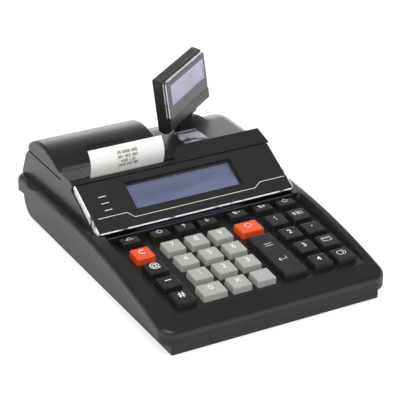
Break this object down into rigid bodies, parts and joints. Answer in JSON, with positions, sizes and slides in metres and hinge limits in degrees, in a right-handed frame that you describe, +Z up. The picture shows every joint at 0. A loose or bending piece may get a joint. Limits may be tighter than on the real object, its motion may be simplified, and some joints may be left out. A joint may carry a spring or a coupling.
{
  "type": "ticket register",
  "caption": "Portable ticket register with sprung keys, a sloped operator window, a drop-in receipt printer under a hinged lid and a customer display that swivels and tilts",
  "frame": {"origin": "on the floor under the middle of the case's plan rectangle", "axes": "+Z up; the key side faces -Y, the sockets face +Y, +X to the right seen from the keys"},
  "size_m": [0.172, 0.2383, 0.1048],
  "materials": {
    "body": "satin",
    "window": "polished",
    "grey_key": "satin",
    "orange_key": "satin",
    "black_key": "satin",
    "rubber": "matte",
    "screw_steel": "satin",
    "battery_wrap": "gloss",
    "circuit_board": "gloss",
    "silicone": "matte",
    "lcd_cell": "gloss",
    "clear_lens": "polished",
    "zinc_steel": "satin",
    "pinion_brass": "satin",
    "gear_plastic": "satin",
    "socket_plastic": "matte",
    "ceramic": "gloss",
    "bucket_plastic": "matte",
    "paper": "matte"
  },
  "bodies": {
    "case": {"lower_tub": "body", "upper_shell": "body", "rubber_feet": "rubber", "case_screws": "screw_steel", "battery_door": "body", "battery_pack": "battery_wrap", "main_board": "circuit_board", "rear_sockets": "socket_plastic", "keypad_board": "circuit_board", "key_mat": "silicone", "window_plate": "window", "operator_lcd": "lcd_cell", "lid_hinge_pin": "screw_steel", "printer_motor": "zinc_steel", "printer_frame": "zinc_steel", "print_head": "ceramic", "paper_bucket": "bucket_plastic", "receipt": "paper"},
    "lid": {"paper_lid": "body"},
    "platen": {"platen_roller": "rubber", "platen_gear": "gear_plastic"},
    "motor_pinion": {"motor_gear": "pinion_brass"},
    "roll": {"paper_roll": "paper"},
    "turret": {"display_turret": "body"},
    "display_head": {"display_case": "body", "display_lens": "clear_lens", "display_lcd": "lcd_cell"},
    "key_clear": {"key_clear": "orange_key"},
    "key_print": {"key_print": "black_key"},
    "key_minus": {"key_minus": "black_key"},
    "key_lookup": {"key_lookup": "black_key"},
    "key_7": {"key_7": "grey_key"},
    "key_8": {"key_8": "grey_key"},
    "key_9": {"key_9": "grey_key"},
    "key_4": {"key_4": "grey_key"},
    "key_5": {"key_5": "grey_key"},
    "key_6": {"key_6": "grey_key"},
    "key_1": {"key_1": "grey_key"},
    "key_2": {"key_2": "grey_key"},
    "key_3": {"key_3": "grey_key"},
    "key_0": {"key_0": "grey_key"},
    "key_times": {"key_times": "grey_key"},
    "key_point": {"key_point": "grey_key"},
    "key_subtotal": {"key_subtotal": "orange_key"},
    "key_total": {"key_total": "black_key"},
    "key_department_1": {"key_department_1": "black_key"},
    "key_department_2": {"key_department_2": "black_key"},
    "key_department_3": {"key_department_3": "black_key"},
    "key_department_4": {"key_department_4": "black_key"},
    "key_bar": {"key_bar": "black_key"},
    "key_dot": {"key_dot": "black_key"},
    "key_card": {"key_card": "black_key"},
    "key_coin": {"key_coin": "black_key"},
    "key_eject": {"key_eject": "black_key"},
    "key_power": {"key_power": "black_key"},
    "key_up": {"key_up": "black_key"},
    "key_down": {"key_down": "black_key"},
    "key_percent_minus": {"key_percent_minus": "black_key"},
    "key_percent_plus": {"key_percent_plus": "black_key"},
    "key_home": {"key_home": "black_key"}
  },
  "joints": [
    {"name": "lid_hinge", "type": "hinge", "parent": "case", "child": "lid", "pos_m": [-0.0373, 0.10922, 0.05362], "axis": [-1, 0, 0], "range_deg": [0, 95]},
    {"name": "platen_spin", "type": "hinge", "parent": "lid", "child": "platen", "pos_m": [-0.035, 0.0409, 0.052], "axis": [1, 0, 0], "continuous": true},
    {"name": "motor_spin", "type": "hinge", "parent": "case", "child": "motor_pinion", "pos_m": [-0.0015, 0.0409, 0.0449], "axis": [1, 0, 0], "continuous": true},
    {"name": "roll_spin", "type": "hinge", "parent": "case", "child": "roll", "pos_m": [-0.03425, 0.084, 0.0395], "axis": [1, 0, 0], "continuous": true},
    {"name": "display_swivel", "type": "hinge", "parent": "case", "child": "turret", "pos_m": [0.0406, 0.0902, 0.0582], "axis": [0, 0, 1], "range_deg": [-38.1, 141.9]},
    {"name": "display_tilt", "type": "hinge", "parent": "turret", "child": "display_head", "pos_m": [0.0406, 0.0902, 0.0632], "axis": [-0.7869, -0.617, 0], "range_deg": [-14, 45]},
    {"name": "press_clear", "type": "slide", "parent": "case", "child": "key_clear", "axis": [0, 0.0825, -0.9966], "range_m": [0, 0.0022], "stiffness_N_per_m": 150, "springref_m": -0.002},
    {"name": "press_print", "type": "slide", "parent": "case", "child": "key_print", "axis": [0, 0.0825, -0.9966], "range_m": [0, 0.0022], "stiffness_N_per_m": 150, "springref_m": -0.002},
    {"name": "press_minus", "type": "slide", "parent": "case", "child": "key_minus", "axis": [0, 0.0825, -0.9966], "range_m": [0, 0.0022], "stiffness_N_per_m": 150, "springref_m": -0.002},
    {"name": "press_lookup", "type": "slide", "parent": "case", "child": "key_lookup", "axis": [0, 0.0825, -0.9966], "range_m": [0, 0.0022], "stiffness_N_per_m": 150, "springref_m": -0.002},
    {"name": "press_7", "type": "slide", "parent": "case", "child": "key_7", "axis": [0, 0.0825, -0.9966], "range_m": [0, 0.0022], "stiffness_N_per_m": 150, "springref_m": -0.002},
    {"name": "press_8", "type": "slide", "parent": "case", "child": "key_8", "axis": [0, 0.0825, -0.9966], "range_m": [0, 0.0022], "stiffness_N_per_m": 150, "springref_m": -0.002},
    {"name": "press_9", "type": "slide", "parent": "case", "child": "key_9", "axis": [0, 0.0825, -0.9966], "range_m": [0, 0.0022], "stiffness_N_per_m": 150, "springref_m": -0.002},
    {"name": "press_4", "type": "slide", "parent": "case", "child": "key_4", "axis": [0, 0.0825, -0.9966], "range_m": [0, 0.0022], "stiffness_N_per_m": 150, "springref_m": -0.002},
    {"name": "press_5", "type": "slide", "parent": "case", "child": "key_5", "axis": [0, 0.0825, -0.9966], "range_m": [0, 0.0022], "stiffness_N_per_m": 150, "springref_m": -0.002},
    {"name": "press_6", "type": "slide", "parent": "case", "child": "key_6", "axis": [0, 0.0825, -0.9966], "range_m": [0, 0.0022], "stiffness_N_per_m": 150, "springref_m": -0.002},
    {"name": "press_1", "type": "slide", "parent": "case", "child": "key_1", "axis": [0, 0.0825, -0.9966], "range_m": [0, 0.0022], "stiffness_N_per_m": 150, "springref_m": -0.002},
    {"name": "press_2", "type": "slide", "parent": "case", "child": "key_2", "axis": [0, 0.0825, -0.9966], "range_m": [0, 0.0022], "stiffness_N_per_m": 150, "springref_m": -0.002},
    {"name": "press_3", "type": "slide", "parent": "case", "child": "key_3", "axis": [0, 0.0825, -0.9966], "range_m": [0, 0.0022], "stiffness_N_per_m": 150, "springref_m": -0.002},
    {"name": "press_0", "type": "slide", "parent": "case", "child": "key_0", "axis": [0, 0.0825, -0.9966], "range_m": [0, 0.0022], "stiffness_N_per_m": 150, "springref_m": -0.002},
    {"name": "press_times", "type": "slide", "parent": "case", "child": "key_times", "axis": [0, 0.0825, -0.9966], "range_m": [0, 0.0022], "stiffness_N_per_m": 150, "springref_m": -0.002},
    {"name": "press_point", "type": "slide", "parent": "case", "child": "key_point", "axis": [0, 0.0825, -0.9966], "range_m": [0, 0.0022], "stiffness_N_per_m": 150, "springref_m": -0.002},
    {"name": "press_subtotal", "type": "slide", "parent": "case", "child": "key_subtotal", "axis": [0, 0.0825, -0.9966], "range_m": [0, 0.0022], "stiffness_N_per_m": 150, "springref_m": -0.002},
    {"name": "press_total", "type": "slide", "parent": "case", "child": "key_total", "axis": [0, 0.0825, -0.9966], "range_m": [0, 0.0022], "stiffness_N_per_m": 150, "springref_m": -0.002},
    {"name": "press_department_1", "type": "slide", "parent": "case", "child": "key_department_1", "axis": [0, 0.0825, -0.9966], "range_m": [0, 0.0022], "stiffness_N_per_m": 150, "springref_m": -0.002},
    {"name": "press_department_2", "type": "slide", "parent": "case", "child": "key_department_2", "axis": [0, 0.0825, -0.9966], "range_m": [0, 0.0022], "stiffness_N_per_m": 150, "springref_m": -0.002},
    {"name": "press_department_3", "type": "slide", "parent": "case", "child": "key_department_3", "axis": [0, 0.0825, -0.9966], "range_m": [0, 0.0022], "stiffness_N_per_m": 150, "springref_m": -0.002},
    {"name": "press_department_4", "type": "slide", "parent": "case", "child": "key_department_4", "axis": [0, 0.0825, -0.9966], "range_m": [0, 0.0022], "stiffness_N_per_m": 150, "springref_m": -0.002},
    {"name": "press_bar", "type": "slide", "parent": "case", "child": "key_bar", "axis": [0, 0.0825, -0.9966], "range_m": [0, 0.0022], "stiffness_N_per_m": 150, "springref_m": -0.002},
    {"name": "press_dot", "type": "slide", "parent": "case", "child": "key_dot", "axis": [0, 0.0825, -0.9966], "range_m": [0, 0.0022], "stiffness_N_per_m": 150, "springref_m": -0.002},
    {"name": "press_card", "type": "slide", "parent": "case", "child": "key_card", "axis": [0, 0.0825, -0.9966], "range_m": [0, 0.0022], "stiffness_N_per_m": 150, "springref_m": -0.002},
    {"name": "press_coin", "type": "slide", "parent": "case", "child": "key_coin", "axis": [0, 0.0825, -0.9966], "range_m": [0, 0.0022], "stiffness_N_per_m": 150, "springref_m": -0.002},
    {"name": "press_eject", "type": "slide", "parent": "case", "child": "key_eject", "axis": [0, 0.0825, -0.9966], "range_m": [0, 0.0022], "stiffness_N_per_m": 150, "springref_m": -0.002},
    {"name": "press_power", "type": "slide", "parent": "case", "child": "key_power", "axis": [0, 0.0825, -0.9966], "range_m": [0, 0.0022], "stiffness_N_per_m": 150, "springref_m": -0.002},
    {"name": "press_up", "type": "slide", "parent": "case", "child": "key_up", "axis": [0, 0.0825, -0.9966], "range_m": [0, 0.0022], "stiffness_N_per_m": 150, "springref_m": -0.002},
    {"name": "press_down", "type": "slide", "parent": "case", "child": "key_down", "axis": [0, 0.0825, -0.9966], "range_m": [0, 0.0022], "stiffness_N_per_m": 150, "springref_m": -0.002},
    {"name": "press_percent_minus", "type": "slide", "parent": "case", "child": "key_percent_minus", "axis": [0, 0.0825, -0.9966], "range_m": [0, 0.0022], "stiffness_N_per_m": 150, "springref_m": -0.002},
    {"name": "press_percent_plus", "type": "slide", "parent": "case", "child": "key_percent_plus", "axis": [0, 0.0825, -0.9966], "range_m": [0, 0.0022], "stiffness_N_per_m": 150, "springref_m": -0.002},
    {"name": "press_home", "type": "slide", "parent": "case", "child": "key_home", "axis": [0, 0.0825, -0.9966], "range_m": [0, 0.0022], "stiffness_N_per_m": 150, "springref_m": -0.002}
  ],
  "couplings": [
    {"joint": "motor_spin", "follows": "platen_spin", "ratio": -1.8}
  ]
}
